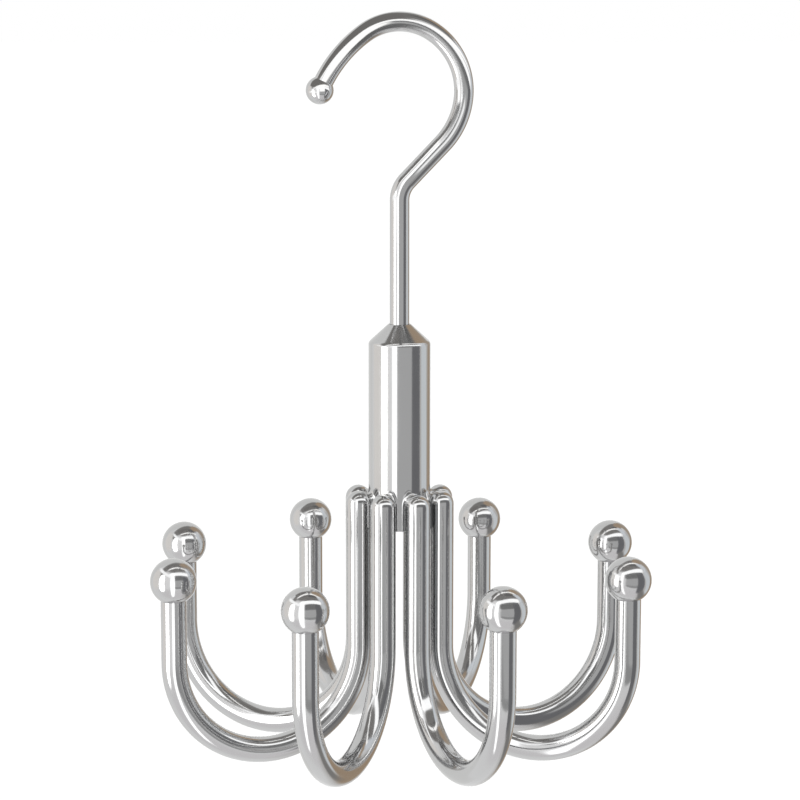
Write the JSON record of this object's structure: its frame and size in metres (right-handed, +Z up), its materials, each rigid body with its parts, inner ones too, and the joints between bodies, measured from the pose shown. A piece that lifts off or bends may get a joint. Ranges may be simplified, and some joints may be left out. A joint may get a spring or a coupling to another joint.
{
  "type": "rotating multi-hook hanger",
  "caption": "Hanger with a rod hook on a swivel stem and a barrel that carries a ring of ball-ended J hooks, which turns freely.",
  "frame": {"origin": "the point inside the top hook's crown that rests on the rod, over the stem's axis", "axes": "+Z up along the stem and the swivel axis; the top hook lies in the XZ plane with its tip towards -X; -Y is the front"},
  "size_m": [0.1502, 0.1502, 0.2272],
  "materials": {
    "wire_chrome": "polished chrome plate",
    "ball_chrome": "polished chrome plate",
    "barrel_chrome": "polished chrome plate",
    "weld_chrome": "chrome plated weld",
    "zinc_steel": "zinc plated",
    "nylon": "moulded nylon"
  },
  "bodies": {
    "hook": {"top_hook": "wire_chrome", "hook_tip_ball": "ball_chrome", "stem_washer": "zinc_steel", "stem_lock_nut": "zinc_steel"},
    "carousel": {"hub_barrel": "barrel_chrome", "hub_plug": "barrel_chrome", "stem_bush": "nylon", "thrust_washer": "nylon", "hook_arm_1": "wire_chrome", "hook_arm_2": "wire_chrome", "hook_arm_3": "wire_chrome", "hook_arm_4": "wire_chrome", "hook_arm_5": "wire_chrome", "hook_arm_6": "wire_chrome", "hook_arm_7": "wire_chrome", "hook_arm_8": "wire_chrome", "arm_ball_1": "ball_chrome", "arm_ball_2": "ball_chrome", "arm_ball_3": "ball_chrome", "arm_ball_4": "ball_chrome", "arm_ball_5": "ball_chrome", "arm_ball_6": "ball_chrome", "arm_ball_7": "ball_chrome", "arm_ball_8": "ball_chrome", "arm_weld_1": "weld_chrome", "arm_weld_2": "weld_chrome", "arm_weld_3": "weld_chrome", "arm_weld_4": "weld_chrome", "arm_weld_5": "weld_chrome", "arm_weld_6": "weld_chrome", "arm_weld_7": "weld_chrome", "arm_weld_8": "weld_chrome"}
  },
  "joints": [
    {"name": "swivel", "type": "hinge", "parent": "hook", "child": "carousel", "pos_m": [0, 0, -0.1], "axis": [0, 0, 1], "continuous": true}
  ]
}
